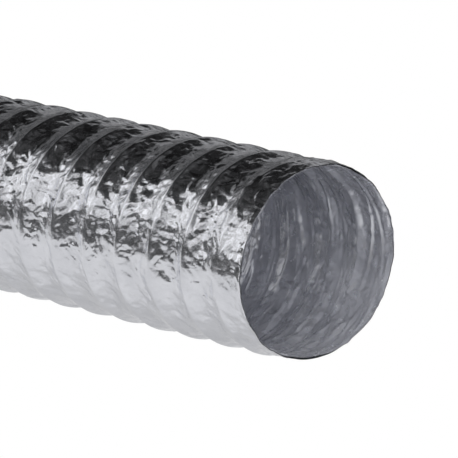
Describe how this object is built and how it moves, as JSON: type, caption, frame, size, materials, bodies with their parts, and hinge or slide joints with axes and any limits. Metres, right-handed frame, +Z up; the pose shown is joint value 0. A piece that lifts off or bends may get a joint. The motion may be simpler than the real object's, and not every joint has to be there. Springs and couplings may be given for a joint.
{
  "type": "flexible air duct",
  "caption": "Round flexible aluminium foil air duct with a helical spring wire between two foil plies and a plain cut opening at each end.",
  "frame": {"origin": "centre of the front opening, on the duct's axis in the plane of the cut foil edge", "axes": "+X along the duct's axis, out of the front opening; +Z up with the duct lying level; the rear opening is towards -X"},
  "size_m": [0.418, 0.1562, 0.1562],
  "materials": {
    "outer_foil": "bright, finely crumpled foil",
    "inner_foil": "duller side of the foil laminate, wrinkled",
    "wire": "drawn spring steel wire"
  },
  "bodies": {
    "front_cuff": {"inner_foil_front_cuff": "inner_foil", "outer_foil_front_cuff": "outer_foil", "wire_turn_01": "wire", "inner_foil_fold_01": "inner_foil", "outer_foil_fold_01": "outer_foil"},
    "band_01": {"inner_foil_flex_01": "inner_foil", "outer_foil_flex_01": "outer_foil"},
    "turn_02": {"wire_turn_02": "wire", "inner_foil_fold_02": "inner_foil", "outer_foil_fold_02": "outer_foil"},
    "band_02": {"inner_foil_flex_02": "inner_foil", "outer_foil_flex_02": "outer_foil"},
    "turn_03": {"wire_turn_03": "wire", "inner_foil_fold_03": "inner_foil", "outer_foil_fold_03": "outer_foil"},
    "band_03": {"inner_foil_flex_03": "inner_foil", "outer_foil_flex_03": "outer_foil"},
    "turn_04": {"wire_turn_04": "wire", "inner_foil_fold_04": "inner_foil", "outer_foil_fold_04": "outer_foil"},
    "band_04": {"inner_foil_flex_04": "inner_foil", "outer_foil_flex_04": "outer_foil"},
    "turn_05": {"wire_turn_05": "wire", "inner_foil_fold_05": "inner_foil", "outer_foil_fold_05": "outer_foil"},
    "band_05": {"inner_foil_flex_05": "inner_foil", "outer_foil_flex_05": "outer_foil"},
    "turn_06": {"wire_turn_06": "wire", "inner_foil_fold_06": "inner_foil", "outer_foil_fold_06": "outer_foil"},
    "band_06": {"inner_foil_flex_06": "inner_foil", "outer_foil_flex_06": "outer_foil"},
    "turn_07": {"wire_turn_07": "wire", "inner_foil_fold_07": "inner_foil", "outer_foil_fold_07": "outer_foil"},
    "band_07": {"inner_foil_flex_07": "inner_foil", "outer_foil_flex_07": "outer_foil"},
    "turn_08": {"wire_turn_08": "wire", "inner_foil_fold_08": "inner_foil", "outer_foil_fold_08": "outer_foil"},
    "band_08": {"inner_foil_flex_08": "inner_foil", "outer_foil_flex_08": "outer_foil"},
    "turn_09": {"wire_turn_09": "wire", "inner_foil_fold_09": "inner_foil", "outer_foil_fold_09": "outer_foil"},
    "band_09": {"inner_foil_flex_09": "inner_foil", "outer_foil_flex_09": "outer_foil"},
    "turn_10": {"wire_turn_10": "wire", "inner_foil_fold_10": "inner_foil", "outer_foil_fold_10": "outer_foil"},
    "band_10": {"inner_foil_flex_10": "inner_foil", "outer_foil_flex_10": "outer_foil"},
    "rear_cuff": {"wire_turn_11": "wire", "inner_foil_rear_cuff": "inner_foil", "outer_foil_rear_cuff": "outer_foil"}
  },
  "joints": [
    {"name": "compress", "type": "slide", "parent": "front_cuff", "child": "band_01", "axis": [1, 0, 0], "range_m": [0, 0.017], "deforming": ["inner_foil_fold_01", "outer_foil_fold_01"]},
    {"name": "bend_up", "type": "hinge", "parent": "band_01", "child": "turn_02", "pos_m": [-0.049, 0, 0], "axis": [0, 0.866, 0.5], "range_deg": [-7, 7], "deforming": ["inner_foil_flex_01", "outer_foil_flex_01"]},
    {"name": "compress_02", "type": "slide", "parent": "turn_02", "child": "band_02", "axis": [1, 0, 0], "range_m": [0, 0.017], "deforming": ["inner_foil_fold_02", "outer_foil_fold_02"]},
    {"name": "bend_side", "type": "hinge", "parent": "band_02", "child": "turn_03", "pos_m": [-0.087, 0, 0], "axis": [0, -0.5, 0.866], "range_deg": [-7, 7], "deforming": ["inner_foil_flex_02", "outer_foil_flex_02"]},
    {"name": "compress_03", "type": "slide", "parent": "turn_03", "child": "band_03", "axis": [1, 0, 0], "range_m": [0, 0.017], "deforming": ["inner_foil_fold_03", "outer_foil_fold_03"]},
    {"name": "bend_up_03", "type": "hinge", "parent": "band_03", "child": "turn_04", "pos_m": [-0.125, 0, 0], "axis": [0, 0.866, 0.5], "range_deg": [-7, 7], "deforming": ["inner_foil_flex_03", "outer_foil_flex_03"]},
    {"name": "compress_04", "type": "slide", "parent": "turn_04", "child": "band_04", "axis": [1, 0, 0], "range_m": [0, 0.017], "deforming": ["inner_foil_fold_04", "outer_foil_fold_04"]},
    {"name": "bend_side_04", "type": "hinge", "parent": "band_04", "child": "turn_05", "pos_m": [-0.163, 0, 0], "axis": [0, -0.5, 0.866], "range_deg": [-7, 7], "deforming": ["inner_foil_flex_04", "outer_foil_flex_04"]},
    {"name": "compress_05", "type": "slide", "parent": "turn_05", "child": "band_05", "axis": [1, 0, 0], "range_m": [0, 0.017], "deforming": ["inner_foil_fold_05", "outer_foil_fold_05"]},
    {"name": "bend_up_05", "type": "hinge", "parent": "band_05", "child": "turn_06", "pos_m": [-0.201, 0, 0], "axis": [0, 0.866, 0.5], "range_deg": [-7, 7], "deforming": ["inner_foil_flex_05", "outer_foil_flex_05"]},
    {"name": "compress_06", "type": "slide", "parent": "turn_06", "child": "band_06", "axis": [1, 0, 0], "range_m": [0, 0.017], "deforming": ["inner_foil_fold_06", "outer_foil_fold_06"]},
    {"name": "bend_side_06", "type": "hinge", "parent": "band_06", "child": "turn_07", "pos_m": [-0.239, 0, 0], "axis": [0, -0.5, 0.866], "range_deg": [-7, 7], "deforming": ["inner_foil_flex_06", "outer_foil_flex_06"]},
    {"name": "compress_07", "type": "slide", "parent": "turn_07", "child": "band_07", "axis": [1, 0, 0], "range_m": [0, 0.017], "deforming": ["inner_foil_fold_07", "outer_foil_fold_07"]},
    {"name": "bend_up_07", "type": "hinge", "parent": "band_07", "child": "turn_08", "pos_m": [-0.277, 0, 0], "axis": [0, 0.866, 0.5], "range_deg": [-7, 7], "deforming": ["inner_foil_flex_07", "outer_foil_flex_07"]},
    {"name": "compress_08", "type": "slide", "parent": "turn_08", "child": "band_08", "axis": [1, 0, 0], "range_m": [0, 0.017], "deforming": ["inner_foil_fold_08", "outer_foil_fold_08"]},
    {"name": "bend_side_08", "type": "hinge", "parent": "band_08", "child": "turn_09", "pos_m": [-0.315, 0, 0], "axis": [0, -0.5, 0.866], "range_deg": [-7, 7], "deforming": ["inner_foil_flex_08", "outer_foil_flex_08"]},
    {"name": "compress_09", "type": "slide", "parent": "turn_09", "child": "band_09", "axis": [1, 0, 0], "range_m": [0, 0.017], "deforming": ["inner_foil_fold_09", "outer_foil_fold_09"]},
    {"name": "bend_up_09", "type": "hinge", "parent": "band_09", "child": "turn_10", "pos_m": [-0.353, 0, 0], "axis": [0, 0.866, 0.5], "range_deg": [-7, 7], "deforming": ["inner_foil_flex_09", "outer_foil_flex_09"]},
    {"name": "compress_10", "type": "slide", "parent": "turn_10", "child": "band_10", "axis": [1, 0, 0], "range_m": [0, 0.0017], "deforming": ["inner_foil_fold_10", "outer_foil_fold_10"]},
    {"name": "bend_side_10", "type": "hinge", "parent": "band_10", "child": "rear_cuff", "pos_m": [-0.391, 0, 0], "axis": [0, -0.5, 0.866], "range_deg": [-3.5, 3.5], "deforming": ["inner_foil_flex_10", "outer_foil_flex_10"]}
  ],
  "couplings": [
    {"joint": "compress_02", "follows": "compress", "ratio": 1},
    {"joint": "compress_03", "follows": "compress", "ratio": 1},
    {"joint": "bend_up_03", "follows": "bend_up", "ratio": 1},
    {"joint": "compress_04", "follows": "compress", "ratio": 1},
    {"joint": "bend_side_04", "follows": "bend_side", "ratio": 1},
    {"joint": "compress_05", "follows": "compress", "ratio": 1},
    {"joint": "bend_up_05", "follows": "bend_up", "ratio": 1},
    {"joint": "compress_06", "follows": "compress", "ratio": 1},
    {"joint": "bend_side_06", "follows": "bend_side", "ratio": 1},
    {"joint": "compress_07", "follows": "compress", "ratio": 1},
    {"joint": "bend_up_07", "follows": "bend_up", "ratio": 1},
    {"joint": "compress_08", "follows": "compress", "ratio": 1},
    {"joint": "bend_side_08", "follows": "bend_side", "ratio": 1},
    {"joint": "compress_09", "follows": "compress", "ratio": 1},
    {"joint": "bend_up_09", "follows": "bend_up", "ratio": 1},
    {"joint": "compress_10", "follows": "compress", "ratio": 0.1},
    {"joint": "bend_side_10", "follows": "bend_side", "ratio": 0.5}
  ]
}
